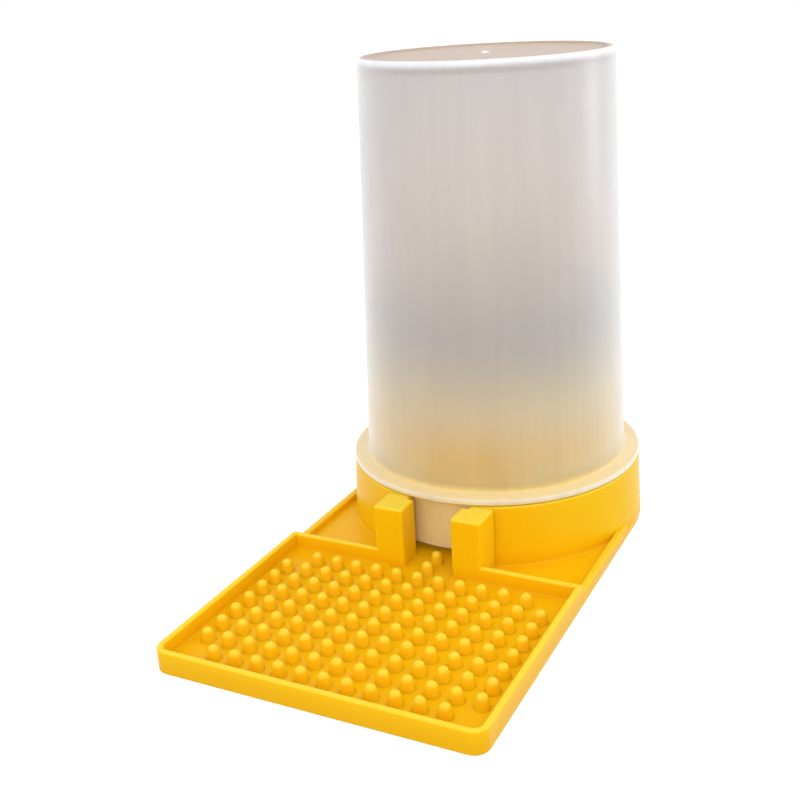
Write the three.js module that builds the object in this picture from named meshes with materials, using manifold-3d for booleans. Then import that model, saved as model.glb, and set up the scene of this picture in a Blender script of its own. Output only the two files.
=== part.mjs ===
// Entrance feeder for a beehive: a yellow base moulding with a pinned landing tray, a deck and a
// round collar, and a frosted reservoir cup that stands mouth down in the collar and lifts out.
// Units are millimetres. +Z is up, -Y is the side that slides into the hive entrance, and X runs
// across. The origin is the middle of the footprint, on the underside.

import * as THREE from "three";
import { mergeVertices } from "three/addons/utils/BufferGeometryUtils.js";
import Module from "manifold-3d";

// Base plate and tray
const halfWidth = 50;
const rimStandoff = 6;
const trayLength = 76.6;
const floorThickness = 2;
const rimHeight = 7.2;
const rimThickness = 2;
const cornerRadius = 4.5;

// Deck walls, collar and gate
const sideWallHeight = 4.2;
const sideWallThickness = 2.7;
const sideWallRunOut = 0.9;
const collarDraft = 1;
const collarWall = 3;
const collarHeight = 22.2;
const collarEdge = 0.8;
const gateWidth = 16.4;
const postWidth = 10;
const postCorner = 1;
const gapRelief = 2.2;

// Pins that keep the bees out of the syrup
const pinRadius = 2;
const pinHeight = 4.1;
const pinPitchAcross = 7.1;
const pinPitchAlong = 7.2;
const pinMargin = 1.5;
const lastRowSetback = 7.5;

// Reservoir
const reservoirHeight = 132.6;
const flangeLedge = 4.8;
const cupDraft = 4.3;
const cupWall = 1.6;
const panelThickness = 1.8;
const panelRecess = 1;
const topEdgeRound = 1.6;
const topEdgeWidth = 2.4;
const sprueRadius = 1.3;
const sprueHeight = 0.7;
const flangeThickness = 2.1;
const seatGap = 0.3;
const skirtGap = 0.6;
const skirtWall = 1.8;
const syrupGap = 2.6;

// Counts and shares, which don't change with the size
const turnSteps = 72;
const cornerSteps = 4;
const pinSides = 8;
const pinProfileShares = [[1, 0], [0.86, 0.7], [0.5, 0.95], [0.25, 1]];

// Derived places
const backRimRear = -halfWidth - rimStandoff;
const frontReach = trayLength - backRimRear;
const backRimFront = backRimRear - rimThickness;
const collarRadius = halfWidth - collarDraft;
const collarBore = collarRadius - collarWall;
const collarGap = gateWidth / 2 + gapRelief;
const footRadius = collarRadius - flangeLedge;
const topRadius = footRadius - cupDraft;
const skirtRadius = collarBore - skirtGap;
const skirtDepth = collarHeight + seatGap - floorThickness - syrupGap;
const footprintMiddle = (frontReach - halfWidth) / 2;
const cutReach = halfWidth * 2;

const wasm = await Module();
wasm.setup();

const yellow = { color: 0xfab40c, roughness: 0.38, metalness: 0 };
const frosted = { color: 0xe9e2dd, roughness: 0.45, metalness: 0, transparent: true, opacity: 0.6 };

// A closed geometry as a solid that can be joined and cut.
function solidOf(geometry) {
  const bare = geometry.clone();
  bare.deleteAttribute("normal");
  bare.deleteAttribute("uv");
  const merged = mergeVertices(bare);
  const corners = merged.getIndex().array;
  const kept = [];
  for (let i = 0; i < corners.length; i += 3) {
    const [a, b, c] = corners.slice(i, i + 3);
    if (a !== b && b !== c && c !== a) {
      kept.push(a, b, c);
    }
  }
  const mesh = new wasm.Mesh({
    numProp: 3,
    vertProperties: new Float32Array(merged.getAttribute("position").array),
    triVerts: new Uint32Array(kept),
  });
  return new wasm.Manifold(mesh);
}

function geometryOf(solid) {
  const mesh = solid.getMesh();
  const geometry = new THREE.BufferGeometry();
  geometry.setAttribute("position", new THREE.BufferAttribute(mesh.vertProperties, 3));
  geometry.setIndex(new THREE.BufferAttribute(mesh.triVerts, 1));
  geometry.computeVertexNormals();
  return geometry;
}

// A flat outline raised from one height to another.
function prism(outline, bottom, top) {
  const geometry = new THREE.ExtrudeGeometry(new THREE.Shape(outline), {
    depth: top - bottom,
    bevelEnabled: false,
  });
  return solidOf(geometry.translate(0, 0, bottom));
}

function block(x0, x1, y0, y1, z0, z1) {
  const geometry = new THREE.BoxGeometry(x1 - x0, y1 - y0, z1 - z0);
  return solidOf(geometry.translate((x0 + x1) / 2, (y0 + y1) / 2, (z0 + z1) / 2));
}

// A profile of [radius, height] points turned round the Z axis.
function turned(profile, steps) {
  const points = profile.map(([radius, height]) => new THREE.Vector2(radius, height));
  return solidOf(new THREE.LatheGeometry(points, steps).rotateX(Math.PI / 2));
}

function ring(inner, outer, bottom, top) {
  return turned([[inner, bottom], [outer, bottom], [outer, top], [inner, top], [inner, bottom]], turnSteps);
}

// Points of an arc round a centre, both ends included.
function arc(x, y, radius, from, to, steps) {
  const points = [];
  for (let i = 0; i <= steps; i += 1) {
    const angle = from + (to - from) * (i / steps);
    points.push(new THREE.Vector2(x + radius * Math.cos(angle), y + radius * Math.sin(angle)));
  }
  return points;
}

// The tray seen from above: square at the back, with rounded corners at the front.
function trayOutline(inset) {
  const reach = halfWidth - inset;
  const round = cornerRadius - inset;
  const x = halfWidth - cornerRadius;
  const y = cornerRadius - frontReach;
  return [
    new THREE.Vector2(reach, backRimRear),
    new THREE.Vector2(-reach, backRimRear),
    ...arc(-x, y, round, Math.PI, 1.5 * Math.PI, cornerSteps),
    ...arc(x, y, round, 1.5 * Math.PI, 2 * Math.PI, cornerSteps),
  ];
}

// The deck seen from above: as wide as the tray, and round behind the collar's axis.
function deckOutline() {
  return [
    new THREE.Vector2(-halfWidth, backRimRear),
    new THREE.Vector2(halfWidth, backRimRear),
    ...arc(0, 0, halfWidth, 0, Math.PI, turnSteps / 2),
  ];
}

// Where the pins stand: rows across the tray with bare corners, then one column into the gate.
function pinPlaces() {
  const lastRow = backRimFront - lastRowSetback;
  const halfAcross = halfWidth - rimThickness - pinRadius - pinMargin;
  const along = lastRow + frontReach - rimThickness - pinRadius - pinMargin;
  const columns = Math.floor(halfAcross / pinPitchAcross);
  const rows = Math.floor(along / pinPitchAlong);
  const places = [];
  for (let row = 0; row <= rows; row += 1) {
    const edgeRow = row === 0 || row === rows;
    for (let column = -columns; column <= columns; column += 1) {
      if (!edgeRow || Math.abs(column) < columns) {
        places.push([column * pinPitchAcross, lastRow - row * pinPitchAlong]);
      }
    }
  }
  let y = lastRow + pinPitchAlong;
  while (y + pinRadius < -collarBore - pinMargin) {
    places.push([0, y]);
    y += pinPitchAlong;
  }
  return places;
}

function pinField() {
  const root = floorThickness / 2;
  const profile = pinProfileShares.map(([r, z]) => [pinRadius * r, floorThickness + pinHeight * z]);
  const pin = turned([[0, root], [pinRadius, root], ...profile, [0, floorThickness + pinHeight]], pinSides);
  return wasm.Manifold.union(pinPlaces().map(([x, y]) => pin.translate([x, y, 0])));
}

// A floor plate with the pins that stand on it.
function floorWithPins(outline, pins) {
  const plate = prism(outline, 0, floorThickness);
  const above = prism(outline, 0, collarHeight);
  return plate.add(pins.intersect(above));
}

function frontRim() {
  const outer = prism(trayOutline(0), floorThickness, rimHeight);
  const inner = prism(trayOutline(rimThickness), floorThickness, rimHeight);
  const front = block(
    -halfWidth, halfWidth,
    -frontReach, cornerRadius - frontReach,
    floorThickness, rimHeight,
  );
  return outer.subtract(inner).intersect(front);
}

function sideRim() {
  return block(
    halfWidth - rimThickness, halfWidth,
    cornerRadius - frontReach, backRimRear,
    floorThickness, rimHeight,
  );
}

function backRim() {
  return block(
    gateWidth / 2 + postWidth, halfWidth - rimThickness,
    backRimFront, backRimRear,
    floorThickness, rimHeight,
  );
}

// The low wall that runs back along the deck until it thins out on the collar.
function sideWall(collarPlug) {
  const meets = halfWidth - sideWallRunOut;
  const end = -Math.sqrt(halfWidth ** 2 - meets ** 2);
  const wall = block(
    halfWidth - sideWallThickness, halfWidth,
    backRimRear, end,
    floorThickness, sideWallHeight,
  );
  return wall.subtract(collarPlug);
}

// A post beside the gate, as high as the collar. It is level at the front with the back rim and
// runs back to the collar.
function gatePost(collarPlug) {
  const left = gateWidth / 2;
  const right = left + postWidth;
  const outline = [
    ...arc(left + postCorner, backRimFront + postCorner, postCorner, Math.PI, 1.5 * Math.PI, cornerSteps),
    ...arc(right - postCorner, backRimFront + postCorner, postCorner, 1.5 * Math.PI, 2 * Math.PI, cornerSteps),
    new THREE.Vector2(right, -collarBore / 2),
    new THREE.Vector2(left, -collarBore / 2),
  ];
  return prism(outline, floorThickness, collarHeight).subtract(collarPlug);
}

// Half of the collar, from the gate round to the middle of the back. It leans in a little upwards,
// and its gap is wider than the gate, so that its end stands behind the post.
function halfCollar() {
  const wall = turned([
    [collarBore, floorThickness],
    [halfWidth, floorThickness],
    [collarRadius, collarHeight - collarEdge],
    [collarRadius - collarEdge, collarHeight],
    [collarBore + collarEdge, collarHeight],
    [collarBore, collarHeight - collarEdge],
    [collarBore, floorThickness],
  ], turnSteps);
  const side = block(0, cutReach, -cutReach, cutReach, 0, cutReach);
  const gate = block(0, collarGap, -cutReach, 0, 0, cutReach);
  return wall.intersect(side).subtract(gate);
}

// The cup's top: a panel set a little below a rounded edge, with the sprue mark in the middle.
function reservoirTop(bottom, radius) {
  const panel = reservoirHeight - panelRecess;
  const step = radius - topEdgeWidth;
  const edge = arc(radius - topEdgeRound, reservoirHeight - topEdgeRound, topEdgeRound, 0, Math.PI / 2, cornerSteps);
  return turned([
    [0, bottom],
    [radius, bottom],
    ...edge.map((point) => [point.x, point.y]),
    [step, reservoirHeight],
    [step - panelRecess, panel],
    [sprueRadius, panel],
    [sprueRadius / 2, panel + sprueHeight],
    [0, panel + sprueHeight],
  ], turnSteps);
}

function mirrored(solid) {
  return solid.mirror([1, 0, 0]);
}

function named(name, solid, finish) {
  const mesh = new THREE.Mesh(geometryOf(solid), new THREE.MeshStandardMaterial(finish));
  mesh.name = name;
  return mesh;
}

function makeBase() {
  const group = new THREE.Group();
  const pins = pinField();
  const collarPlug = turned([
    [0, floorThickness],
    [halfWidth, floorThickness],
    [collarRadius, collarHeight - collarEdge],
    [collarRadius, cutReach],
    [0, cutReach],
  ], turnSteps);
  const pairs = {
    side_rim: sideRim(),
    back_rim: backRim(),
    side_wall: sideWall(collarPlug),
    gate_post: gatePost(collarPlug),
    collar: halfCollar(),
  };
  group.add(named("tray_floor", floorWithPins(trayOutline(0), pins), yellow));
  group.add(named("deck_floor", floorWithPins(deckOutline(), pins), yellow));
  group.add(named("front_rim", frontRim(), yellow));
  for (const [name, solid] of Object.entries(pairs)) {
    group.add(named(`right_${name}`, solid, yellow));
    group.add(named(`left_${name}`, mirrored(solid), yellow));
  }
  return group;
}

// The reservoir, drawn from the underside of its seating flange.
function makeReservoir() {
  const group = new THREE.Group();
  const topBottom = reservoirHeight - panelRecess - panelThickness;
  const taper = (footRadius - topRadius) / (reservoirHeight - flangeThickness);
  const shoulder = topRadius + taper * (reservoirHeight - topBottom);
  const wall = turned([
    [footRadius - cupWall, flangeThickness],
    [footRadius, flangeThickness],
    [shoulder, topBottom],
    [shoulder - cupWall, topBottom],
    [footRadius - cupWall, flangeThickness],
  ], turnSteps);
  const flange = ring(footRadius - cupWall, collarRadius, 0, flangeThickness);
  const skirt = ring(skirtRadius - skirtWall, skirtRadius, -skirtDepth, 0);
  group.add(named("reservoir_wall", wall, frosted));
  group.add(named("reservoir_top", reservoirTop(topBottom, shoulder), frosted));
  group.add(named("seat_flange", flange, frosted));
  group.add(named("mouth_skirt", skirt, frosted));
  group.position.z = collarHeight + seatGap;
  return group;
}

const feeder = new THREE.Group();
feeder.add(makeBase(), makeReservoir());
feeder.position.y = footprintMiddle;
export default feeder;
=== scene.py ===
from math import cos, pi, radians, sin, sqrt, tan

import bmesh
import bpy
from bpy.props import FloatProperty, FloatVectorProperty, IntProperty, PointerProperty
from bpy.types import Operator, Panel, PropertyGroup
from mathutils import Matrix, Vector


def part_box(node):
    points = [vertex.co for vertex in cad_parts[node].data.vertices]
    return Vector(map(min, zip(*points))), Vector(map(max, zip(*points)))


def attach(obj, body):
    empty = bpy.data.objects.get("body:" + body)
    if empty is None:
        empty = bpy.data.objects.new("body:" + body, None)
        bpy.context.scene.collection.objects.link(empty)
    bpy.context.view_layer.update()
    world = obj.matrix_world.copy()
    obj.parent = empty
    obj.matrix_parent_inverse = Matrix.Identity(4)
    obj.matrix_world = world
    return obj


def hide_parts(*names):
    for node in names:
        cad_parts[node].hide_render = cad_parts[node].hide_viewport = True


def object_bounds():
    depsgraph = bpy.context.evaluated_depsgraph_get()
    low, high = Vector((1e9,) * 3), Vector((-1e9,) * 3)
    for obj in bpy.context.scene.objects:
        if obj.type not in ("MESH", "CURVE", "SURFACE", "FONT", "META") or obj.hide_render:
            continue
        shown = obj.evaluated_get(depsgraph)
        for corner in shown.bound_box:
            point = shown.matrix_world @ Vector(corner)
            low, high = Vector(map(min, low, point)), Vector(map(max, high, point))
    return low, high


# Entrance feeder for a beehive: the amber base moulding with its pinned landing tray, and the
# frosted reservoir cup that stands mouth down in the collar. Lengths are metres, +Z is up, and the
# tray points to -Y.

bl_info = {
    "name": "Entrance Feeder",
    "version": (1, 0, 0),
    "blender": (4, 5, 0),
    "location": "3D View > Sidebar > Feeder",
    "description": "Builds the finished pieces of a hive entrance feeder and its studio stage",
    "category": "Object",
}

MM = 0.001

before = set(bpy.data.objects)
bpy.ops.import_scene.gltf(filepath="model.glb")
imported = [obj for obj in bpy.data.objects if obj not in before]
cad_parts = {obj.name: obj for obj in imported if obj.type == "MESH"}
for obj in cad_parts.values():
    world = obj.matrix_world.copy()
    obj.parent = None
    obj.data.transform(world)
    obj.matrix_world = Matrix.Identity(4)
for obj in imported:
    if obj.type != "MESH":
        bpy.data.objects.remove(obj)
CAD_BOX = [list(corner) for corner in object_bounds()]

# Places of the base, seen from above
HALF_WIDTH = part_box("deck_floor")[1].x
AXIS_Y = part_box("deck_floor")[1].y - HALF_WIDTH
FRONT_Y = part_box("tray_floor")[0].y
SIDE_RIM_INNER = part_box("right_side_rim")[0].x
FRONT_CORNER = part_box("right_side_rim")[0].y - FRONT_Y
BACK_RIM_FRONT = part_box("right_back_rim")[0].y
BACK_RIM_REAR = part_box("right_back_rim")[1].y
SIDE_WALL_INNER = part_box("right_side_wall")[0].x
SIDE_WALL_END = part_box("right_side_wall")[1].y
GATE_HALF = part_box("right_gate_post")[0].x
POST_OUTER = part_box("right_gate_post")[1].x
COLLAR_END_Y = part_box("right_collar")[0].y

# Heights of the base
FLOOR_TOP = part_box("right_side_rim")[0].z
RIM_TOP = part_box("right_side_rim")[1].z
SIDE_WALL_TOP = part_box("right_side_wall")[1].z
POST_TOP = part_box("right_gate_post")[1].z
COLLAR_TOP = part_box("right_collar")[1].z


def radii(name):
    """How near to the cup's axis, and how far from it, a CAD node reaches."""
    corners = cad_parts[name].data.vertices
    reaches = [sqrt(corner.co.x ** 2 + (corner.co.y - AXIS_Y) ** 2) for corner in corners]
    return min(reaches), max(reaches)


# Radii and heights of the collar and the reservoir
COLLAR_BORE, COLLAR_FOOT = radii("right_collar")
CUP_INNER, FLANGE_RADIUS = radii("seat_flange")
CUP_FOOT = radii("reservoir_wall")[1]
SKIRT_INNER, SKIRT_OUTER = radii("mouth_skirt")
COLLAR_GAP = min(
    corner.co.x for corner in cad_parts["right_collar"].data.vertices if corner.co.y < AXIS_Y
)
SKIRT_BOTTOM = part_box("mouth_skirt")[0].z
FLANGE_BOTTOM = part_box("seat_flange")[0].z
FLANGE_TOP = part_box("seat_flange")[1].z
CUP_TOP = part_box("reservoir_top")[1].z

# Counts and small distances of the modelling itself
TURN_STEPS = 144
ROUND_STEPS = 4
CORNER_STEPS = 6
EMBED = 1 * MM
MERGE = 0.001 * MM
FLAT_ANGLE = radians(0.4)
SHARP_ANGLE = radians(32)

# The profile of a pin, ring by ring from its sunk foot to its top
PIN_SIDES = 14
PIN_FOOT_SHARE = 1.2
PIN_RADIUS_SHARES = [1, 0.97, 0.84, 0.75, 0.6, 0.38, 0.14]
PIN_HEIGHT_SHARES = [0, 0, 0.08, 0.6, 0.84, 0.96, 1]

# Patterns in the plastics: each noise by its scale, detail and roughness, and each relief by its
# strength and depth
FLOW_NOISE = (45, 3, 0.55)
GRAIN_NOISE = (1400, 2)
CLOUD_NOISE = (30, 3)
LINE_NOISE = (320, 2)
GRAIN_RELIEF = (0.25, 0.03 * MM)
LINE_RELIEF = (0.3, 0.04 * MM)
LINE_STRETCH = (1, 1, 0.04)
FLOW_SHADE = 0.95
CLOUD_SHADE = 0.97
LINE_SHADE = 0.85

# Finishes. Painted shade deepens the amber on the floors and lowest edges, and painted light
# lightens it where it faces up, above the given heights and past the given slopes. The lists give
# the heights at which the cup's colours and clearness change; the cup's colours hold the base's
# painted glow and painted shade.
PLASTIC_IOR = 1.49
ROUGHNESS_SPREAD = 0.04
PAINTED_SHADE_HEIGHTS = (FLOOR_TOP, FLOOR_TOP + 5 * MM)
PAINTED_LIGHT_HEIGHTS = (FLOOR_TOP + 1 * MM, FLOOR_TOP + 3.2 * MM)
PAINTED_LIGHT_SLOPES = (0.1, 0.8)
BLOOM_ROUGHNESS = 0.55
GLOSS_ROUGHNESS = 0.2
SKIN_HEIGHTS = [
    SKIRT_BOTTOM, SKIRT_BOTTOM + 0.9 * MM, FLANGE_TOP - 1.3 * MM, FLANGE_TOP - 0.8 * MM,
    FLANGE_TOP - 0.12 * MM, FLANGE_TOP, FLANGE_TOP + 0.3 * MM, 28 * MM, 33 * MM, 56 * MM, CUP_TOP,
]
CLEARING_HEIGHTS = [FLANGE_TOP, FLANGE_TOP + 3 * MM, 60 * MM, CUP_TOP - 3 * MM, CUP_TOP - 1 * MM]
CORE_HEIGHTS = [0, 46 * MM, 75 * MM, 98 * MM, CUP_TOP]
PANEL_SHINE = 0.15
AMBER_GLOW_REACH = (2 * MM, 1.5 * MM, 0.5 * MM)

# The cup's material slots after its skin, and how far up a face points that belongs to the panel
CORE_SLOT, PANEL_SLOT = 1, 2
PANEL_FACING = 0.9

# The studio, with each soft box by its width, height, azimuth, elevation and distance
WHITE = (1, 1, 1, 1)
FLOOR_PAINT = (0.6, 0.6, 0.6, 1)
FLOOR_LIFT = 0.52
SOFT_BOXES = {
    "key": (0.6, 0.6, radians(50), radians(55), 0.9),
    "front": (0.5, 0.3, radians(5), radians(28), 0.9),
    "side": (0.3, 0.8, radians(125), radians(20), 0.8),
}

BASE_NODES = ["tray_floor", "deck_floor", "front_rim"] + [
    f"{side}_{part}"
    for side in ("right", "left")
    for part in ("side_rim", "back_rim", "side_wall", "gate_post", "collar")
]
RESERVOIR_NODES = ["reservoir_wall", "reservoir_top", "seat_flange", "mouth_skirt"]


class FeederBaseSettings(PropertyGroup):
    """Sizes and colours of the base moulding"""

    edge_round: FloatProperty(
        name="Edge Round", description="Radius along the tops of the rims and walls",
        default=0.85 * MM, min=0.1 * MM, max=0.95 * MM, unit="LENGTH",
    )
    foot_fillet: FloatProperty(
        name="Foot Fillet", description="Radius where rims, walls and posts rise from the floor",
        default=0.8 * MM, min=0.1 * MM, max=2 * MM, unit="LENGTH",
    )
    post_round: FloatProperty(
        name="Post Round", description="Radius of the gate posts' upright corners",
        default=1 * MM, min=0.1 * MM, max=3 * MM, unit="LENGTH",
    )
    underside_round: FloatProperty(
        name="Underside Round", description="Radius along the plate's lower edge",
        default=0.4 * MM, min=0.1 * MM, max=0.9 * MM, unit="LENGTH",
    )
    wall_end_round: FloatProperty(
        name="Wall End Round", description="Radius with which a side wall turns in to the collar",
        default=3 * MM, min=1 * MM, max=6 * MM, unit="LENGTH",
    )
    amber: FloatVectorProperty(
        name="Amber", description="Main colour of the moulding",
        default=(0.86, 0.51, 0.003), min=0, max=1, subtype="COLOR",
    )
    # Painted shade on the floors and the lowest edges, where shade falls.
    painted_shade_amber: FloatVectorProperty(
        name="Deep Amber", description="Colour of the floors and the lowest edges",
        default=(0.83, 0.455, 0.002), min=0, max=1, subtype="COLOR",
    )
    # Painted light on the upward tops of rims, walls, posts and pins.
    painted_light_amber: FloatVectorProperty(
        name="Light Amber", description="Colour on the tops of rims, walls, posts and pins",
        default=(0.84, 0.59, 0.04), min=0, max=1, subtype="COLOR",
    )
    roughness: FloatProperty(
        name="Roughness", description="How satin the moulded surface is",
        default=0.32, min=0, max=1, subtype="FACTOR",
    )
    specular: FloatProperty(
        name="Specular", description="Strength of the surface's reflection",
        default=0.1, min=0, max=1, subtype="FACTOR",
    )
    glow: FloatProperty(
        name="Glow", description="Share of the light that spreads inside the plastic",
        default=0.5, min=0, max=1, subtype="FACTOR",
    )


class FeederPinSettings(PropertyGroup):
    """Sizes of the pins that bees stand on to drink"""

    radius: FloatProperty(
        name="Radius", description="Radius of a pin just above its foot",
        default=2 * MM, min=0.5 * MM, max=3 * MM, unit="LENGTH",
    )
    height: FloatProperty(
        name="Height", description="Height of a pin above the floor",
        default=4.1 * MM, min=1 * MM, max=8 * MM, unit="LENGTH",
    )
    sunk: FloatProperty(
        name="Sunk", description="How far a pin reaches into the floor",
        default=0.5 * MM, min=0.1 * MM, max=1 * MM, unit="LENGTH",
    )
    pitch_across: FloatProperty(
        name="Pitch Across", description="Distance between pins across the tray",
        default=7.1 * MM, min=4 * MM, max=12 * MM, unit="LENGTH",
    )
    pitch_along: FloatProperty(
        name="Pitch Along", description="Distance between rows of pins along the tray",
        default=7.2 * MM, min=4 * MM, max=12 * MM, unit="LENGTH",
    )
    last_row_setback: FloatProperty(
        name="Last Row Setback", description="From the back rim to the middle of the last row",
        default=7.5 * MM, min=3 * MM, max=12 * MM, unit="LENGTH",
    )
    columns: IntProperty(
        name="Columns", description="Pins in a full row", default=13, min=3, max=30,
    )
    rows: IntProperty(
        name="Rows", description="Rows of pins on the tray", default=9, min=3, max=30,
    )
    gate_pins: IntProperty(
        name="Gate Pins", description="Pins of the middle column that go on into the gate",
        default=2, min=1, max=4,
    )


class FeederReservoirSettings(PropertyGroup):
    """Sizes and finish of the reservoir cup"""

    wall: FloatProperty(
        name="Wall", description="Thickness of the cup's wall",
        default=1.6 * MM, min=0.8 * MM, max=3 * MM, unit="LENGTH",
    )
    draft: FloatProperty(
        name="Draft", description="How much the cup's radius shrinks from its foot to its top",
        default=4.3 * MM, min=0, max=10 * MM, unit="LENGTH",
    )
    top_round: FloatProperty(
        name="Top Round", description="Radius of the cup's upper edge",
        default=1.6 * MM, min=0.3 * MM, max=2 * MM, unit="LENGTH",
    )
    top_edge: FloatProperty(
        name="Top Edge", description="Width of the raised edge round the top panel",
        default=2.4 * MM, min=2.3 * MM, max=6 * MM, unit="LENGTH",
    )
    panel_recess: FloatProperty(
        name="Panel Recess", description="How far the top panel lies below its edge",
        default=1 * MM, min=0.8 * MM, max=3 * MM, unit="LENGTH",
    )
    panel: FloatProperty(
        name="Panel", description="Thickness of the top panel",
        default=1.8 * MM, min=0.8 * MM, max=4 * MM, unit="LENGTH",
    )
    sprue_radius: FloatProperty(
        name="Sprue Radius", description="Radius of the nub in the middle of the top panel",
        default=1.3 * MM, min=0.8 * MM, max=3 * MM, unit="LENGTH",
    )
    sprue_height: FloatProperty(
        name="Sprue Height", description="Height of the nub above the top panel",
        default=0.7 * MM, min=0.5 * MM, max=1 * MM, unit="LENGTH",
    )
    edge_round: FloatProperty(
        name="Edge Round", description="Radius along the flange and the skirt",
        default=0.45 * MM, min=0.1 * MM, max=0.8 * MM, unit="LENGTH",
    )
    foot_fillet: FloatProperty(
        name="Foot Fillet", description="Radius where the wall meets the flange",
        default=1 * MM, min=0.1 * MM, max=3 * MM, unit="LENGTH",
    )
    milky: FloatVectorProperty(
        name="Milky", description="Colour of the frosted skin",
        default=(0.96, 0.97, 1), min=0, max=1, subtype="COLOR",
    )
    # Painted glow of the amber base, on the skin low down.
    skin_amber_glow: FloatVectorProperty(
        name="Pale Honey", description="Colour that the base lends the skin low down",
        default=(1, 0.82, 0.38), min=0, max=1, subtype="COLOR",
    )
    # Painted glow of the amber base, on the flange's top and the wall's very foot.
    flange_amber_glow: FloatVectorProperty(
        name="Flange Honey", description="Colour of the flange's top and the wall's very foot",
        default=(1, 0.72, 0.2), min=0, max=1, subtype="COLOR",
    )
    # Painted light: the warmly lit surroundings, seen through the wall above the band.
    warm: FloatVectorProperty(
        name="Warm", description="Colour inside the wall above the shaded band",
        default=(1, 0.8, 0.6), min=0, max=1, subtype="COLOR",
    )
    pale: FloatVectorProperty(
        name="Pale", description="Colour inside the wall at the top",
        default=(1, 0.9, 0.86), min=0, max=1, subtype="COLOR",
    )
    # Painted shade: the shaded band, seen through the wall.
    painted_band_shade: FloatVectorProperty(
        name="Dusky", description="Colour inside the wall at the shaded band",
        default=(0.54, 0.45, 0.37), min=0, max=1, subtype="COLOR",
    )
    # Painted glow of the amber base, inside the wall low down.
    inner_amber_glow: FloatVectorProperty(
        name="Honey", description="Colour that the base lends the inside of the wall low down",
        default=(1, 0.71, 0.04), min=0, max=1, subtype="COLOR",
    )
    # Painted shade: the cup's dim inside, seen through the top panel.
    panel_painted_shade: FloatVectorProperty(
        name="Panel Tint", description="Colour of the top panel",
        default=(0.76, 0.57, 0.44), min=0, max=1, subtype="COLOR",
    )
    low_skin_clearness: FloatProperty(
        name="Low Skin Clearness", description="Share of the light that passes the skin low down",
        default=0.64, min=0, max=1, subtype="FACTOR",
    )
    skin_clearness: FloatProperty(
        name="Skin Clearness", description="Share of the light that passes the skin of the wall",
        default=0.8, min=0, max=1, subtype="FACTOR",
    )
    thick_clearness: FloatProperty(
        name="Thick Clearness",
        description="Share of the light that passes the skin at the flange and the upper edge",
        default=0.2, min=0, max=1, subtype="FACTOR",
    )
    core_clearness: FloatProperty(
        name="Core Clearness", description="Share of the light that passes the inside high up",
        default=0.7, min=0, max=1, subtype="FACTOR",
    )
    low_core_clearness: FloatProperty(
        name="Low Core Clearness", description="Share of the light that passes the inside low down",
        default=0.1, min=0, max=1, subtype="FACTOR",
    )
    panel_clearness: FloatProperty(
        name="Panel Clearness", description="Share of the light that passes the top panel",
        default=0.5, min=0, max=1, subtype="FACTOR",
    )
    roughness: FloatProperty(
        name="Roughness", description="How strongly the frosted wall scatters",
        default=0.5, min=0, max=1, subtype="FACTOR",
    )
    bloom: FloatProperty(
        name="Bloom", description="How much the frosting brightens towards the outline",
        default=0.76, min=0, max=1, subtype="FACTOR",
    )
    gloss: FloatProperty(
        name="Gloss", description="Strength of the soft reflection on top of the frosting",
        default=0.9, min=0, max=1, subtype="FACTOR",
    )


class FeederStudioSettings(PropertyGroup):
    """The camera, the floor and the light"""

    aim: FloatVectorProperty(
        name="Aim", description="Point in the middle of the camera's view",
        default=(-39.656 * MM, 46.904 * MM, 32.664 * MM), unit="LENGTH",
    )
    distance: FloatProperty(
        name="Distance", description="From the camera to the point that it aims at",
        default=414.8 * MM, min=0.1, max=5, unit="LENGTH",
    )
    azimuth: FloatProperty(
        name="Azimuth", description="How far the camera stands round to the right of the tray",
        default=radians(27.653), unit="ROTATION",
    )
    elevation: FloatProperty(
        name="Elevation", description="How far the camera looks down",
        default=radians(20.366), unit="ROTATION",
    )
    roll: FloatProperty(
        name="Roll", description="How far the camera leans",
        default=radians(-3.317), unit="ROTATION",
    )
    lens: FloatProperty(
        name="Lens", description="Focal length in millimetres on a 36 mm sensor",
        default=50.93, min=10, max=300,
    )
    floor_size: FloatProperty(
        name="Floor Size", description="Length of each side of the floor",
        default=6, min=1, max=20, unit="LENGTH",
    )
    daylight: FloatProperty(
        name="Daylight", description="Strength of the even light from all round",
        default=1.05, min=0, max=3,
    )
    key_power: FloatProperty(
        name="Key Power", description="Power of the soft box above and to the right, in watts",
        default=1.2, min=0, max=100,
    )
    front_power: FloatProperty(
        name="Front Power", description="Power of the low soft box in front, in watts",
        default=1.5, min=0, max=100,
    )
    side_power: FloatProperty(
        name="Side Power", description="Power of the tall soft box at the right, in watts",
        default=1.2, min=0, max=100,
    )


def plan_arc(x, y, radius, start, end, steps=CORNER_STEPS):
    """Points along an arc seen from above, both ends included."""
    angles = [start + (end - start) * i / steps for i in range(steps + 1)]
    return [Vector((x + radius * cos(angle), y + radius * sin(angle))) for angle in angles]


def moved_edges(outline, insets):
    """An anticlockwise outline whose edges move inwards, each by its own inset."""
    moved = []
    for i, here in enumerate(outline):
        after = outline[(i + 1) % len(outline)]
        arriving = (here - outline[i - 1]).normalized()
        leaving = (after - here).normalized()
        turn = arriving.cross(leaving)
        if abs(turn) < FLAT_ANGLE:
            moved.append(here + Vector((-leaving.y, leaving.x)) * insets[i])
        else:
            moved.append(here + (leaving * insets[i - 1] - arriving * insets[i]) / turn)
    return moved


def quarter_turn():
    """Evenly spaced angles over a quarter turn."""
    return [pi / 2 * i / ROUND_STEPS for i in range(ROUND_STEPS + 1)]


def lower_edge(low, radius):
    """Insets and heights that round a lower edge, or flare it outwards if radius is negative."""
    return [(radius * (1 - sin(t)), low + abs(radius) * (1 - cos(t))) for t in quarter_turn()]


def upper_edge(high, radius):
    """Insets and heights that round an upper edge, or flare it outwards if radius is negative."""
    return [(radius * (1 - cos(t)), high - abs(radius) * (1 - sin(t))) for t in quarter_turn()]


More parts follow.
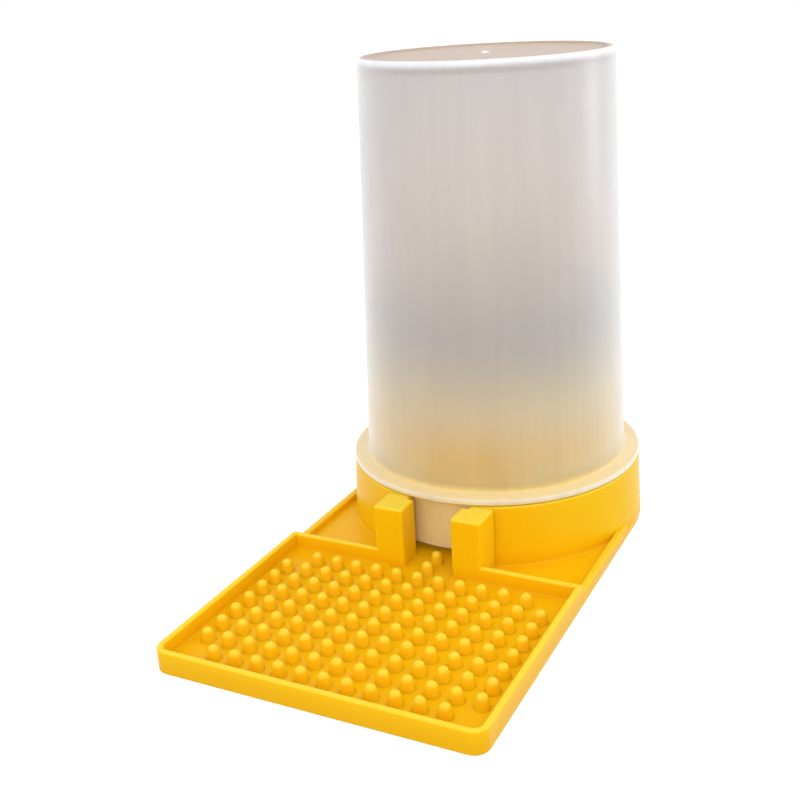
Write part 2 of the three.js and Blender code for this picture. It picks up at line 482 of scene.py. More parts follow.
def standing_profile(settings, top):
    """The profile of a wall that stands on the floor: sunk, filleted, and rounded on top."""
    return [
        (-settings.foot_fillet, FLOOR_TOP - EMBED),
        *lower_edge(FLOOR_TOP, -settings.foot_fillet),
        *upper_edge(top, settings.edge_round),
    ]


def rounded(corners):
    """A profile whose corners, each given with its radius, become arcs. Radius 0 stays sharp."""
    profile = []
    for i, (x, z, radius) in enumerate(corners):
        here = Vector((x, z))
        if not radius:
            profile.append(here)
            continue
        to_before = (Vector(corners[i - 1][:2]) - here).normalized()
        to_after = (Vector(corners[(i + 1) % len(corners)][:2]) - here).normalized()
        half = to_before.angle(to_after) / 2
        middle = here + (to_before + to_after).normalized() * (radius / sin(half))
        start = here + to_before * (radius / tan(half)) - middle
        end = here + to_after * (radius / tan(half)) - middle
        sweep = start.angle(end)
        for k in range(ROUND_STEPS + 1):
            share = k / ROUND_STEPS
            mix = start * sin((1 - share) * sweep) + end * sin(share * sweep)
            profile.append(middle + mix / sin(sweep))
    return profile


def new_piece(name, bm):
    """A new object from a bmesh, with its faces pointing outwards."""
    bmesh.ops.recalc_face_normals(bm, faces=bm.faces)
    if bm.calc_volume(signed=True) < 0:
        bmesh.ops.reverse_faces(bm, faces=bm.faces)
    mesh = bpy.data.meshes.new(name)
    bm.to_mesh(mesh)
    bm.free()
    piece = bpy.data.objects.new(name, mesh)
    bpy.context.scene.collection.objects.link(piece)
    return piece


def raised(name, outline, profile, flared=None):
    """A closed solid that follows an outline up a profile of insets and heights. Where flared is
    given, only the edges that it marks with 1 follow an inset below zero."""
    flared = flared or [1] * len(outline)
    bm = bmesh.new()
    rings = []
    for inset, z in profile:
        insets = [inset * share if inset < 0 else inset for share in flared]
        points = moved_edges(outline, insets)
        rings.append([bm.verts.new((point.x, point.y, z)) for point in points])
    for lower, upper in zip(rings, rings[1:]):
        for i in range(len(outline)):
            j = (i + 1) % len(outline)
            bm.faces.new((lower[i], lower[j], upper[j], upper[i]))
    bm.faces.new(rings[0])
    bm.faces.new(rings[-1])
    return new_piece(name, bm)


def turned(name, profile, closed=False):
    """A solid turned round the cup's axis from radii and heights. A profile that isn't closed
    starts and ends on the axis."""
    bm = bmesh.new()
    rings = []
    for radius, z in profile:
        count = TURN_STEPS if radius > MERGE else 1
        angles = [2 * pi * i / TURN_STEPS for i in range(count)]
        rings.append([bm.verts.new((radius * cos(a), AXIS_Y + radius * sin(a), z)) for a in angles])
    neighbours = list(zip(rings, rings[1:]))
    if closed:
        neighbours.append((rings[-1], rings[0]))
    for one, other in neighbours:
        for i in range(TURN_STEPS):
            j = (i + 1) % TURN_STEPS
            corners = [
                one[i % len(one)], one[j % len(one)], other[j % len(other)], other[i % len(other)],
            ]
            bm.faces.new(list(dict.fromkeys(corners)))
    return new_piece(name, bm)


def baked(piece):
    """Turns a piece and its modifiers into one plain mesh."""
    graph = bpy.context.evaluated_depsgraph_get()
    mesh = bpy.data.meshes.new_from_object(piece.evaluated_get(graph))
    piece.modifiers.clear()
    piece.data = mesh
    mesh.name = piece.name
    return piece


def combined(piece, others, operation):
    """Joins other solids to a piece, or cuts it with them, and deletes them."""
    for other in others:
        step = piece.modifiers.new(other.name, "BOOLEAN")
        step.operation = operation
        step.solver = "MANIFOLD"
        step.object = other
    baked(piece)
    for other in others:
        bpy.data.objects.remove(other)
    return piece


def mirrored(piece):
    """A copy of a piece on the other side of the middle."""
    bm = bmesh.new()
    bm.from_mesh(piece.data)
    bmesh.ops.scale(bm, vec=(-1, 1, 1), verts=bm.verts)
    return new_piece(f"mirrored_{piece.name}", bm)


def cleaned(piece):
    """Merges the double points that cuts leave and dissolves lines that cross a flat face."""
    bm = bmesh.new()
    bm.from_mesh(piece.data)
    bmesh.ops.remove_doubles(bm, verts=bm.verts, dist=MERGE)
    bmesh.ops.dissolve_limit(bm, angle_limit=FLAT_ANGLE, verts=bm.verts, edges=bm.edges)
    bm.to_mesh(piece.data)
    bm.free()
    return piece


def finished(piece, material):
    """Shades a piece smooth over its rounds and flat on its faces, and gives it its material."""
    piece.data.shade_smooth()
    piece.data.set_sharp_from_angle(angle=SHARP_ANGLE)
    weighted = piece.modifiers.new("Weighted Normal", "WEIGHTED_NORMAL")
    weighted.keep_sharp = True
    baked(piece)
    piece.data.materials.clear()
    piece.data.materials.append(material)
    return piece


def node(tree, kind, inputs=None, **settings):
    """A new node with its settings, and its inputs set to values or linked from sockets."""
    made = tree.nodes.new(kind)
    for name, value in settings.items():
        setattr(made, name, value)
    for socket, value in (inputs or {}).items():
        if isinstance(value, bpy.types.NodeSocket):
            tree.links.new(value, made.inputs[socket])
        else:
            made.inputs[socket].default_value = value
    return made


def blank_tree(owner):
    """The empty node tree of a material or a world."""
    owner.use_nodes = True
    owner.node_tree.nodes.clear()
    return owner.node_tree


def mixed_colour(tree, factor, low, high, blend="MIX"):
    """Two colours mixed by a factor. Each is a plain colour or another node's output."""
    mix = node(tree, "ShaderNodeMix", data_type="RGBA", blend_type=blend)
    for place, value in ((0, factor), (6, low), (7, high)):
        if isinstance(value, bpy.types.NodeSocket):
            tree.links.new(value, mix.inputs[place])
        else:
            mix.inputs[place].default_value = (*value, 1) if place else value
    return mix.outputs[2]


def maths(tree, operation, first, second):
    """The result of a sum on two numbers or sockets."""
    return node(tree, "ShaderNodeMath", {0: first, 1: second}, operation=operation).outputs[0]


def fraction(tree, value, start, end):
    """Nought up to start, one from end, and smooth between them."""
    return node(tree, "ShaderNodeMapRange", interpolation_type="SMOOTHSTEP", inputs={
        "Value": value, "From Min": start, "From Max": end,
    }).outputs["Result"]


def wandering(tree, factor, middle, spread):
    """A number that wanders by spread either way."""
    return node(tree, "ShaderNodeMapRange", {
        "Value": factor, "To Min": middle - spread, "To Max": middle + spread,
    }).outputs["Result"]


def axes(tree, vector):
    """The outputs X, Y and Z of a vector."""
    return node(tree, "ShaderNodeSeparateXYZ", {0: vector}).outputs


def noise(tree, place, scale, detail, roughness=0.5):
    """A number from nought to one that varies from place to place."""
    return node(tree, "ShaderNodeTexNoise", {
        "Vector": place, "Scale": scale, "Detail": detail, "Roughness": roughness,
    }).outputs["Fac"]


def relief(tree, pattern, strength, depth):
    """The surface's normal, bent by a pattern."""
    return node(tree, "ShaderNodeBump", {
        "Height": pattern, "Strength": strength, "Distance": depth,
    }).outputs["Normal"]


def marked(tree, colour, pattern, shade):
    """A colour that a pattern darkens, down to a share of it."""
    marks = mixed_colour(tree, pattern, [shade] * 3, [1] * 3)
    return mixed_colour(tree, 1, colour, marks, "MULTIPLY")


def amber_plastic(settings):
    """Satin amber plastic: painted shade low down, painted light on upward tops, flow marks and a
    fine grain.
    """
    material = bpy.data.materials.new("amber_plastic")
    tree = blank_tree(material)
    coordinates = node(tree, "ShaderNodeTexCoord")
    place = coordinates.outputs["Object"]
    height = axes(tree, place)["Z"]
    upward = axes(tree, coordinates.outputs["Normal"])["Z"]
    flow = noise(tree, place, *FLOW_NOISE)
    grain = noise(tree, place, *GRAIN_NOISE)
    # Painted shade: the amber deepens towards the floor.
    above = fraction(tree, height, *PAINTED_SHADE_HEIGHTS)
    facing_up = fraction(tree, upward, *PAINTED_LIGHT_SLOPES)
    # Painted light: faces that point up, above the lowest heights, are lightened.
    painted_light_mask = maths(tree, "MULTIPLY", facing_up, fraction(tree, height, *PAINTED_LIGHT_HEIGHTS))
    colour = mixed_colour(tree, above, settings.painted_shade_amber, settings.amber)
    colour = mixed_colour(tree, painted_light_mask, colour, settings.painted_light_amber)
    surface = node(tree, "ShaderNodeBsdfPrincipled", {
        "Base Color": marked(tree, colour, flow, FLOW_SHADE),
        "Roughness": wandering(tree, flow, settings.roughness, ROUGHNESS_SPREAD),
        "Normal": relief(tree, grain, *GRAIN_RELIEF),
        "IOR": PLASTIC_IOR,
        "Specular IOR Level": settings.specular,
        "Subsurface Weight": settings.glow,
        "Subsurface Radius": AMBER_GLOW_REACH,
        "Subsurface Scale": 1,
    })
    node(tree, "ShaderNodeOutputMaterial", {"Surface": surface.outputs["BSDF"]})
    return material


def graded(tree, height, stops):
    """A colour that changes with height, smoothly from stop to stop."""
    low, high = stops[0][0], stops[-1][0]
    ramp = node(tree, "ShaderNodeValToRGB", {
        "Fac": node(tree, "ShaderNodeMapRange", {
            "Value": height, "From Min": low, "From Max": high,
        }).outputs["Result"],
    })
    ramp.color_ramp.interpolation = "EASE"
    elements = ramp.color_ramp.elements
    while len(elements) < len(stops):
        elements.new(0.5)
    for element, (stop, colour) in zip(elements, stops):
        element.position = (stop - low) / (high - low)
        element.color = (*colour, 1)
    return ramp.outputs["Color"]


def frosted_plastic(name, settings, colours, clearness, shine):
    """Milky see-through plastic with soft clouding and faint draw lines up the wall. Its colour
    changes with height, and so does its clearness unless it is one number. Shine scales its bloom
    and gloss."""
    material = bpy.data.materials.new(name)
    tree = blank_tree(material)
    place = node(tree, "ShaderNodeTexCoord").outputs["Object"]
    height = axes(tree, place)["Z"]
    cloud = noise(tree, place, *CLOUD_NOISE)
    upright = node(tree, "ShaderNodeMapping", {"Vector": place, "Scale": LINE_STRETCH})
    lines = noise(tree, upright.outputs["Vector"], *LINE_NOISE)
    colour = graded(tree, height, colours)
    colour = marked(tree, colour, cloud, CLOUD_SHADE)
    colour = marked(tree, colour, lines, LINE_SHADE)
    if isinstance(clearness, list):
        clearness = graded(tree, height, [(stop, [share] * 3) for stop, share in clearness])
    surface = node(tree, "ShaderNodeBsdfPrincipled", distribution="MULTI_GGX", inputs={
        "Base Color": colour,
        "Roughness": wandering(tree, lines, settings.roughness, ROUGHNESS_SPREAD),
        "Normal": relief(tree, lines, *LINE_RELIEF),
        "IOR": PLASTIC_IOR,
        "Transmission Weight": clearness,
        "Sheen Weight": settings.bloom * shine,
        "Sheen Roughness": BLOOM_ROUGHNESS,
        "Coat Weight": settings.gloss * shine,
        "Coat Roughness": GLOSS_ROUGHNESS,
    })
    node(tree, "ShaderNodeOutputMaterial", {"Surface": surface.outputs["BSDF"]})
    return material


def skin_plastic(settings):
    """The outside of the cup: milky, with the amber base's glow painted on the skirt, the flange's
    top and the foot of the wall. The skirt's foot and the flange's edge are left milky as painted
    highlight lines, and the thick upper edge stays whiter."""
    milky, glow_from_base = [settings.milky], [settings.skin_amber_glow]
    flange = [settings.flange_amber_glow]
    # Up from the skirt's foot: a milky painted highlight line, the base's painted glow, a milky
    # painted highlight line at the flange's edge, painted glow on the flange's top and the wall's
    # foot, then milky.
    colours = milky + glow_from_base * 2 + milky * 2 + flange * 2 + glow_from_base * 2 + milky * 2
    thick, clear = settings.thick_clearness, settings.skin_clearness
    return frosted_plastic(
        "frosted_skin", settings, list(zip(SKIN_HEIGHTS, colours)),
        list(zip(CLEARING_HEIGHTS, [thick, settings.low_skin_clearness, clear, clear, thick])), 1,
    )


def core_plastic(settings):
    """The inside of the cup, which shows through the skin, painted with what lies beyond it: the
    amber base's glow low down, then a band of painted shade, then the warm light of the
    surroundings, and pale at the top."""
    # Painted glow of the base low down, painted shade at the band, painted warm light above it,
    # then pale.
    colours = [settings.inner_amber_glow] * 2 + [settings.painted_band_shade, settings.warm, settings.pale]
    low, high = settings.low_core_clearness, settings.core_clearness
    return frosted_plastic(
        "frosted_core", settings, list(zip(CORE_HEIGHTS, colours)),
        list(zip(CORE_HEIGHTS, [low, low, (low + high) / 2, high, high])), 1,
    )


def panel_plastic(settings):
    """The top panel, painted with the cup's own shade seen through it, and with hardly any shine.
    """
    ends = (0, CUP_TOP)
    return frosted_plastic(
        "frosted_panel", settings, [(height, settings.panel_painted_shade) for height in ends],
        settings.panel_clearness, PANEL_SHINE,
    )


def plate_outline():
    """The base from above: the tray's rounded front corners and the deck's round back."""
    corner = HALF_WIDTH - FRONT_CORNER
    middle = FRONT_Y + FRONT_CORNER
    return [
        *plan_arc(-corner, middle, FRONT_CORNER, pi, 1.5 * pi),
        *plan_arc(corner, middle, FRONT_CORNER, 1.5 * pi, 2 * pi),
        *plan_arc(0, AXIS_Y, HALF_WIDTH, 0, pi, TURN_STEPS // 2),
    ]


def make_base_plate(settings):
    """The flat plate under everything."""
    return raised("base_moulding", plate_outline(), [
        *lower_edge(0, settings.underside_round),
        (0, FLOOR_TOP),
    ])


def make_tray_rim(settings):
    """The low rim round the tray, one strip that is open at the gate."""
    corner = HALF_WIDTH - FRONT_CORNER
    middle = FRONT_Y + FRONT_CORNER
    inner = FRONT_CORNER - (HALF_WIDTH - SIDE_RIM_INNER)
    end = (GATE_HALF + POST_OUTER) / 2
    outer_side = [
        Vector((-end, BACK_RIM_REAR)), Vector((-HALF_WIDTH, BACK_RIM_REAR)),
        *plan_arc(-corner, middle, FRONT_CORNER, pi, 1.5 * pi),
        *plan_arc(corner, middle, FRONT_CORNER, 1.5 * pi, 2 * pi),
        Vector((HALF_WIDTH, BACK_RIM_REAR)), Vector((end, BACK_RIM_REAR)),
    ]
    inner_side = [
        Vector((end, BACK_RIM_FRONT)), Vector((SIDE_RIM_INNER, BACK_RIM_FRONT)),
        *plan_arc(corner, middle, inner, 2 * pi, 1.5 * pi),
        *plan_arc(-corner, middle, inner, 1.5 * pi, pi),
        Vector((-SIDE_RIM_INNER, BACK_RIM_FRONT)), Vector((-end, BACK_RIM_FRONT)),
    ]
    flared = [0] * len(outer_side) + [1] * len(inner_side)
    flared[0] = 1
    flared[len(outer_side) - 2] = 1
    flared[-1] = 0
    return raised("tray_rim", outer_side + inner_side, standing_profile(settings, RIM_TOP), flared)


def make_side_wall(settings):
    """The low wall along the deck's right edge, which turns in to the collar at its end."""
    turn = settings.wall_end_round
    outline = [
        Vector((SIDE_WALL_INNER, BACK_RIM_REAR - EMBED)),
        Vector((HALF_WIDTH, BACK_RIM_REAR - EMBED)),
        *plan_arc(HALF_WIDTH - turn, SIDE_WALL_END, turn, 0, pi / 2),
        Vector((SIDE_WALL_INNER - turn, SIDE_WALL_END + turn)),
        Vector((SIDE_WALL_INNER - turn, SIDE_WALL_END - turn)),
        Vector((SIDE_WALL_INNER, SIDE_WALL_END - turn)),
    ]
    flared = [0] * len(outline)
    flared[-1] = 1
    return raised("side_wall", outline, standing_profile(settings, SIDE_WALL_TOP), flared)


def make_gate_post(settings):
    """The right gate post, from the back rim's front to inside the collar's wall."""
    turn = settings.post_round
    rear = AXIS_Y - COLLAR_BORE - EMBED
    outline = [
        Vector((GATE_HALF - EMBED, BACK_RIM_FRONT)),
        *plan_arc(POST_OUTER - turn, BACK_RIM_FRONT + turn, turn, 1.5 * pi, 2 * pi),
        Vector((POST_OUTER, rear)),
        Vector((GATE_HALF - EMBED, rear)),
    ]
    flared = [0] * len(outline)
    flared[CORNER_STEPS + 1] = 1
    return raised("gate_post", outline, standing_profile(settings, POST_TOP), flared)


def make_collar(settings):
    """The collar: a wall that leans in a little upwards, with fillets inside and outside."""
    fillet = settings.foot_fillet
    under = FLOOR_TOP - EMBED
    return turned("collar", rounded([
        (COLLAR_BORE - fillet, under, 0),
        (COLLAR_FOOT + fillet, under, 0),
        (COLLAR_FOOT + fillet, FLOOR_TOP, 0),
        (COLLAR_FOOT, FLOOR_TOP, fillet),
        (FLANGE_RADIUS, COLLAR_TOP, settings.edge_round),
        (COLLAR_BORE, COLLAR_TOP, settings.edge_round),
        (COLLAR_BORE, FLOOR_TOP, fillet),
        (COLLAR_BORE - fillet, FLOOR_TOP, 0),
    ]), closed=True)


def make_gate_cutter(settings):
    """What the gate leaves open: between the posts, with rounded corners towards the tray, and
    between the ends of the collar, which stand a little wider apart behind the posts."""
    turn = settings.post_round
    basin = AXIS_Y - COLLAR_BORE + 2 * EMBED
    tray = BACK_RIM_FRONT
    half = GATE_HALF
    rear = AXIS_Y - sqrt(COLLAR_FOOT ** 2 - half ** 2)
    outline = [
        Vector((-half - turn - EMBED, tray - EMBED)), Vector((half + turn + EMBED, tray - EMBED)),
        Vector((half + turn + EMBED, tray)),
        *plan_arc(half + turn, tray + turn, turn, 1.5 * pi, pi),
        Vector((half, rear)), Vector((COLLAR_GAP, COLLAR_END_Y)), Vector((COLLAR_GAP, basin)),
        Vector((-COLLAR_GAP, basin)), Vector((-COLLAR_GAP, COLLAR_END_Y)), Vector((-half, rear)),
        *plan_arc(-half - turn, tray + turn, turn, 2 * pi, 1.5 * pi),
        Vector((-half - turn - EMBED, tray)),
    ]
    return raised("gate_cutter", outline, [
        *lower_edge(FLOOR_TOP, settings.foot_fillet),
        *upper_edge(POST_TOP, -settings.edge_round),
        (-settings.edge_round, COLLAR_TOP + EMBED),
    ])


def make_base_moulding(settings):
    """The whole base as one moulding."""
    envelope = raised("envelope", plate_outline(), [(0, -EMBED), (0, COLLAR_TOP + EMBED)])
    collar = combined(make_collar(settings), [envelope], "INTERSECT")
    pair = [make_side_wall(settings), make_gate_post(settings)]
    walls = [*pair, *[mirrored(piece) for piece in pair]]
    base = make_base_plate(settings)
    combined(base, [make_tray_rim(settings), collar, *walls], "UNION")
    combined(base, [make_gate_cutter(settings)], "DIFFERENCE")
    return finished(cleaned(base), amber_plastic(settings))


PIN_INPUTS = {
    "Columns": "NodeSocketInt",
    "Rows": "NodeSocketInt",
    "Gate Pins": "NodeSocketInt",
    "Pitch Across": "NodeSocketFloat",
    "Pitch Along": "NodeSocketFloat",
    "Radius": "NodeSocketFloat",
    "Height": "NodeSocketFloat",
    "Sunk": "NodeSocketFloat",
    "Last Row": "NodeSocketVector",
    "Plastic": "NodeSocketMaterial",
}


def profile_curve(tree, share, shares):
    """A curve through evenly spaced shares, read at a share of its length."""
    curve = node(tree, "ShaderNodeFloatCurve", {"Value": share})
    points = curve.mapping.curves[0].points
    while len(points) < len(shares):
        points.new(0.5, 0.5)
    for i, value in enumerate(shares):
        points[i].location = (i / (len(shares) - 1), value)
        points[i].handle_type = "VECTOR"
    curve.mapping.update()
    return curve.outputs["Value"]


def pin_shape(tree, radius, height, sunk):
    """One pin: a tube of rings, each moved to its radius and height on the pin's profile."""
    steps = len(PIN_RADIUS_SHARES) - 1
    tube = node(tree, "GeometryNodeMeshCylinder", {
        "Vertices": PIN_SIDES, "Side Segments": steps, "Radius": 1, "Depth": 1,
    }).outputs["Mesh"]
    corner = axes(tree, node(tree, "GeometryNodeInputPosition").outputs[0])
    share = maths(tree, "ADD", corner["Z"], 0.5)
    foot = maths(tree, "MULTIPLY", radius, PIN_FOOT_SHARE)
    reach = maths(tree, "MULTIPLY", profile_curve(tree, share, PIN_RADIUS_SHARES), foot)
    rise = maths(tree, "MULTIPLY", profile_curve(tree, share, PIN_HEIGHT_SHARES), height)
    below = node(tree, "ShaderNodeMapRange", {
        "Value": share, "From Max": 1 / steps, "To Min": 1, "To Max": 0,
    }).outputs["Result"]
    moved = node(tree, "ShaderNodeCombineXYZ", {
        "X": maths(tree, "MULTIPLY", corner["X"], reach),
        "Y": maths(tree, "MULTIPLY", corner["Y"], reach),
        "Z": maths(tree, "SUBTRACT", rise, maths(tree, "MULTIPLY", below, sunk)),
    }).outputs["Vector"]
    return node(tree, "GeometryNodeSetPosition", {"Geometry": tube, "Position": moved}).outputs[0]


def pin_grid(tree, given):
    """The middles of the pins, with the last row's middle at the origin: a grid without its four
    corners, and the middle column's run into the gate."""
    columns, rows = given["Columns"], given["Rows"]
    across = maths(tree, "MULTIPLY", given["Pitch Across"], maths(tree, "SUBTRACT", columns, 1))
    along = maths(tree, "MULTIPLY", given["Pitch Along"], maths(tree, "SUBTRACT", rows, 1))
    grid = node(tree, "GeometryNodeMeshGrid", {
        "Size X": across, "Size Y": along, "Vertices X": columns, "Vertices Y": rows,
    }).outputs["Mesh"]
    corner = axes(tree, node(tree, "GeometryNodeInputPosition").outputs[0])
    edges = []
    for axis, size in (("X", across), ("Y", along)):
        reach = node(tree, "ShaderNodeMath", {0: corner[axis]}, operation="ABSOLUTE").outputs[0]
        nearly = maths(tree, "SUBTRACT", maths(tree, "MULTIPLY", size, 0.5), MERGE)
        edges.append(maths(tree, "GREATER_THAN", reach, nearly))
    cut = node(tree, "GeometryNodeDeleteGeometry", {
        "Geometry": grid, "Selection": maths(tree, "MULTIPLY", *edges),
    }).outputs[0]
    half = maths(tree, "MULTIPLY", along, -0.5)
    back = node(tree, "ShaderNodeCombineXYZ", {"Y": half}).outputs[0]
    field = node(tree, "GeometryNodeTransform", {"Geometry": cut, "Translation": back}).outputs[0]
    step = node(tree, "ShaderNodeCombineXYZ", {"Y": given["Pitch Along"]}).outputs[0]
    gate = node(tree, "GeometryNodeMeshLine", {
        "Count": given["Gate Pins"], "Start Location": step, "Offset": step,
    }).outputs["Mesh"]
    both = node(tree, "GeometryNodeJoinGeometry", {0: field})
    tree.links.new(gate, both.inputs[0])
    return both.outputs[0]


def pin_field_tree():
    """The node tree that sets a pin on each place of the grid."""
    tree = bpy.data.node_groups.new("Pin Field", "GeometryNodeTree")
    for name, kind in PIN_INPUTS.items():
        tree.interface.new_socket(name=name, in_out="INPUT", socket_type=kind)
    tree.interface.new_socket(name="Pins", in_out="OUTPUT", socket_type="NodeSocketGeometry")
    given = node(tree, "NodeGroupInput").outputs
    pins = node(tree, "GeometryNodeInstanceOnPoints", {
        "Points": pin_grid(tree, given),
        "Instance": pin_shape(tree, given["Radius"], given["Height"], given["Sunk"]),
    }).outputs[0]
    placed = node(tree, "GeometryNodeTranslateInstances", {
        "Instances": pins, "Translation": given["Last Row"], "Local Space": False,
    }).outputs[0]
    real = node(tree, "GeometryNodeRealizeInstances", {"Geometry": placed}).outputs[0]
    coated = node(tree, "GeometryNodeSetMaterial", {"Geometry": real, "Material": given["Plastic"]})
    node(tree, "NodeGroupOutput", {0: coated.outputs[0]})
    return tree


def make_landing_pins(settings, material):
    """All the pins on the tray and in the gate, as one mesh of closed pins."""
    piece = new_piece("landing_pins", bmesh.new())
    tree = pin_field_tree()
    field = piece.modifiers.new("Pin Field", "NODES")
    field.node_group = tree
    values = {name: getattr(settings, name.lower().replace(" ", "_"), None) for name in PIN_INPUTS}
    values["Last Row"] = (0, BACK_RIM_FRONT - settings.last_row_setback, FLOOR_TOP)
    values["Plastic"] = material
    for item in tree.interface.items_tree:
        if item.in_out == "INPUT":
            field[item.identifier] = values[item.name]
    baked(piece)
    piece.data.shade_smooth()
    return piece


def make_reservoir(settings):
    """The cup as one closed shell, from the middle of its top down to the skirt and up inside."""
    panel_top = CUP_TOP - settings.panel_recess
    panel_under = panel_top - settings.panel
    lean = settings.draft / (CUP_TOP - FLANGE_TOP)
    top_radius = CUP_FOOT - settings.draft
    edge_inner = top_radius - settings.top_edge
    inner_top = top_radius + lean * (CUP_TOP - panel_under) - settings.wall
    fine = settings.edge_round
    cup = turned("reservoir_cup", rounded([
        (0, panel_top + settings.sprue_height, 0),
        (settings.sprue_radius, panel_top + settings.sprue_height, fine),
        (settings.sprue_radius, panel_top, 0),
        (edge_inner - settings.panel_recess / 2, panel_top, fine),
        (edge_inner, CUP_TOP, fine),
        (top_radius, CUP_TOP, settings.top_round),
        (CUP_FOOT, FLANGE_TOP, settings.foot_fillet),
        (FLANGE_RADIUS, FLANGE_TOP, fine),
        (FLANGE_RADIUS, FLANGE_BOTTOM, fine),
        (SKIRT_OUTER, FLANGE_BOTTOM, fine),
        (SKIRT_OUTER, SKIRT_BOTTOM, fine),
        (SKIRT_INNER, SKIRT_BOTTOM, fine),
        (SKIRT_INNER, FLANGE_BOTTOM, fine),
        (CUP_INNER, FLANGE_TOP, 0),
        (inner_top, panel_under, settings.top_round),
        (0, panel_under, 0),
    ]))
    finished(cup, skin_plastic(settings))
    cup.data.materials.append(core_plastic(settings))
    cup.data.materials.append(panel_plastic(settings))
    for face in cup.data.polygons:
        across = Vector((face.center.x, face.center.y - AXIS_Y))
        on_sprue = across.length < settings.sprue_radius and face.center.z > panel_top
        on_top = across.length < edge_inner or face.normal.z > PANEL_FACING
        if face.center.z > panel_under - MERGE and on_top and not on_sprue:
            face.material_index = PANEL_SLOT
        elif face.center.z < panel_top and across.dot(face.normal.xy) < -MERGE * across.length:
            face.material_index = CORE_SLOT
    return cup


class FEEDER_OT_base_moulding(Operator):
    """Make the amber base moulding: plate, tray rim, deck walls, gate posts and collar"""

    bl_idname = "feeder.base_moulding"
    bl_label = "Base Moulding"

    def execute(self, context):
        piece = make_base_moulding(context.scene.feeder_base)
        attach(piece, "base")
        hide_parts(*BASE_NODES)
        return {"FINISHED"}


class FEEDER_OT_landing_pins(Operator):
    """Set the landing pins on the tray and in the gate"""

    bl_idname = "feeder.landing_pins"
    bl_label = "Landing Pins"

    def execute(self, context):
        plastic = bpy.data.objects["base_moulding"].data.materials[0]
        piece = make_landing_pins(context.scene.feeder_pins, plastic)
        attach(piece, "base")
        return {"FINISHED"}


class FEEDER_OT_reservoir(Operator):
    """Make the frosted reservoir cup with its flange and mouth skirt"""

    bl_idname = "feeder.reservoir"
    bl_label = "Reservoir"

    def execute(self, context):
        piece = make_reservoir(context.scene.feeder_reservoir)
        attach(piece, "reservoir")
        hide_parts(*RESERVOIR_NODES)
        return {"FINISHED"}


def pale_floor_material():
    """A pale floor that the camera sees as white, with the object's shadow kept."""
    material = bpy.data.materials.new("pale_floor")
    tree = blank_tree(material)
    paint = node(tree, "ShaderNodeBsdfDiffuse", {"Color": FLOOR_PAINT}).outputs[0]
    lift = node(tree, "ShaderNodeEmission", {"Color": WHITE, "Strength": FLOOR_LIFT}).outputs[0]
    lifted = node(tree, "ShaderNodeAddShader", {0: paint, 1: lift}).outputs[0]
    node(tree, "ShaderNodeOutputMaterial", {"Surface": where_seen(tree, paint, lifted)})
    return material


def where_seen(tree, unseen, seen):
    """One shader for the light that reaches the object, and another where the camera looks at it,
    straight, through the cup or by a reflection."""
    path = node(tree, "ShaderNodeLightPath").outputs
    mirror = maths(tree, "MAXIMUM", path["Is Glossy Ray"], path["Is Transmission Ray"])
    looked_at = maths(tree, "MAXIMUM", path["Is Camera Ray"], mirror)
    return node(tree, "ShaderNodeMixShader", {0: looked_at, 1: unseen, 2: seen}).outputs[0]


def light_world(strength):
    """Even daylight that the camera sees as white."""
    world = bpy.data.worlds.new("studio")
    tree = blank_tree(world)
    daylight = node(tree, "ShaderNodeBackground", {"Color": WHITE, "Strength": strength}).outputs[0]
    white = node(tree, "ShaderNodeBackground", {"Color": WHITE, "Strength": 1}).outputs[0]
    node(tree, "ShaderNodeOutputWorld", {"Surface": where_seen(tree, daylight, white)})
    bpy.context.scene.world = world


def toward(azimuth, elevation):
    """The direction from the object to something seen at an azimuth and an elevation."""
    return Vector((sin(azimuth) * cos(elevation), -cos(azimuth) * cos(elevation), sin(elevation)))


def soft_box(name, power, width, height, azimuth, elevation, distance):
    """A soft box that points at the middle of the object."""
    data = bpy.data.lights.new(name, "AREA")
    data.energy = power
    data.shape = "RECTANGLE"
    data.size = width
    data.size_y = height
    lamp = bpy.data.objects.new(name, data)
    bpy.context.scene.collection.objects.link(lamp)
    middle = (Vector(CAD_BOX[0]) + Vector(CAD_BOX[1])) / 2
    direction = toward(azimuth, elevation)
    turn = direction.to_track_quat("Z", "Y").to_matrix().to_4x4()
    lamp.matrix_world = Matrix.Translation(middle + direction * distance) @ turn


def place_camera(settings):
    """The camera, at the photograph's viewing angle."""
    data = bpy.data.cameras.new("photo_camera")
    data.lens = settings.lens
    back = toward(settings.azimuth, settings.elevation)
    level = Vector((cos(settings.azimuth), sin(settings.azimuth), 0))
    upright = back.cross(level)
    right = level * cos(settings.roll) + upright * sin(settings.roll)
    up = upright * cos(settings.roll) - level * sin(settings.roll)
    camera = bpy.data.objects.new("photo_camera", data)
    bpy.context.scene.collection.objects.link(camera)
    turn = Matrix((right, up, back)).transposed().to_4x4()
    camera.matrix_world = Matrix.Translation(Vector(settings.aim) + back * settings.distance) @ turn
    bpy.context.scene.camera = camera


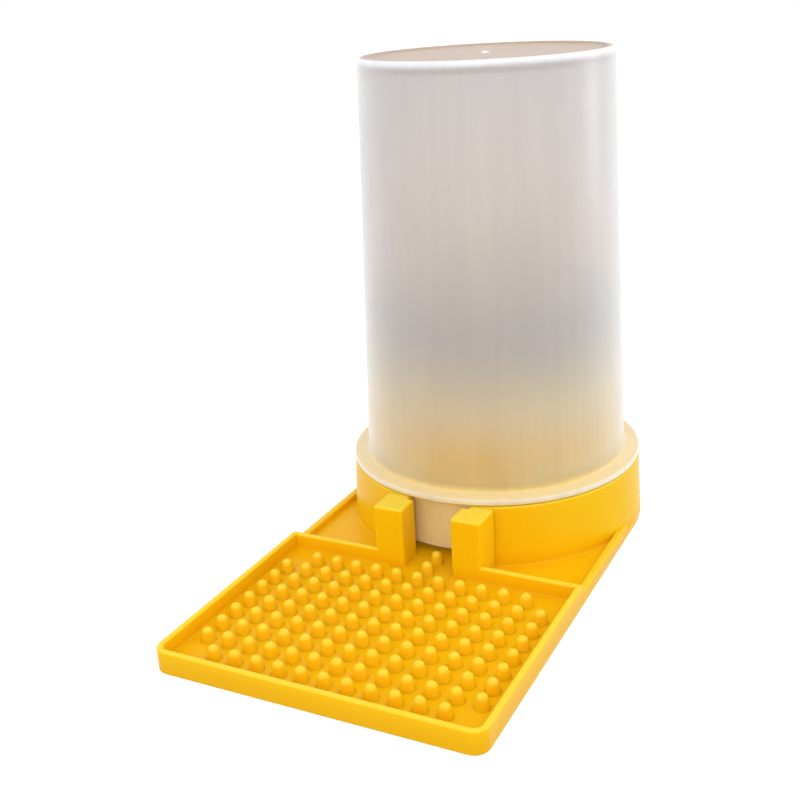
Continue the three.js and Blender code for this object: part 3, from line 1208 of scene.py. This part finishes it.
class FEEDER_OT_studio(Operator):
    """Set up the pale floor, the soft light and the camera"""

    bl_idname = "feeder.studio"
    bl_label = "Studio"

    def execute(self, context):
        settings = context.scene.feeder_studio
        half = settings.floor_size / 2
        bm = bmesh.new()
        bmesh.ops.create_grid(bm, x_segments=1, y_segments=1, size=half)
        floor = new_piece("pale_floor", bm)
        floor.data.materials.append(pale_floor_material())
        light_world(settings.daylight)
        for name, place in SOFT_BOXES.items():
            soft_box(f"{name}_box", getattr(settings, f"{name}_power"), *place)
        place_camera(settings)
        context.scene.view_settings.view_transform = "Standard"
        return {"FINISHED"}


class FEEDER_PT_sidebar(Panel):
    """Lists the feeder's settings and the operators that build it"""

    bl_label = "Entrance Feeder"
    bl_idname = "FEEDER_PT_sidebar"
    bl_space_type = "VIEW_3D"
    bl_region_type = "UI"
    bl_category = "Feeder"

    def draw(self, context):
        for group, operator in STEPS:
            box = self.layout.box()
            settings = getattr(context.scene, group)
            for name in settings.__annotations__:
                box.prop(settings, name)
            box.operator(operator.bl_idname)


STEPS = [
    ("feeder_base", FEEDER_OT_base_moulding),
    ("feeder_pins", FEEDER_OT_landing_pins),
    ("feeder_reservoir", FEEDER_OT_reservoir),
    ("feeder_studio", FEEDER_OT_studio),
]
SETTINGS = {
    "feeder_base": FeederBaseSettings,
    "feeder_pins": FeederPinSettings,
    "feeder_reservoir": FeederReservoirSettings,
    "feeder_studio": FeederStudioSettings,
}
CLASSES = [*SETTINGS.values(), *[operator for group, operator in STEPS], FEEDER_PT_sidebar]


def register():
    for item in CLASSES:
        bpy.utils.register_class(item)
    for group, settings in SETTINGS.items():
        setattr(bpy.types.Scene, group, PointerProperty(type=settings))


def unregister():
    for group in SETTINGS:
        delattr(bpy.types.Scene, group)
    for item in reversed(CLASSES):
        bpy.utils.unregister_class(item)


def main():
    """Builds the pieces and the studio."""
    register()
    bpy.ops.feeder.base_moulding()
    bpy.ops.feeder.landing_pins()
    bpy.ops.feeder.reservoir()
    bpy.ops.feeder.studio()


if __name__ == "__main__":
    main()
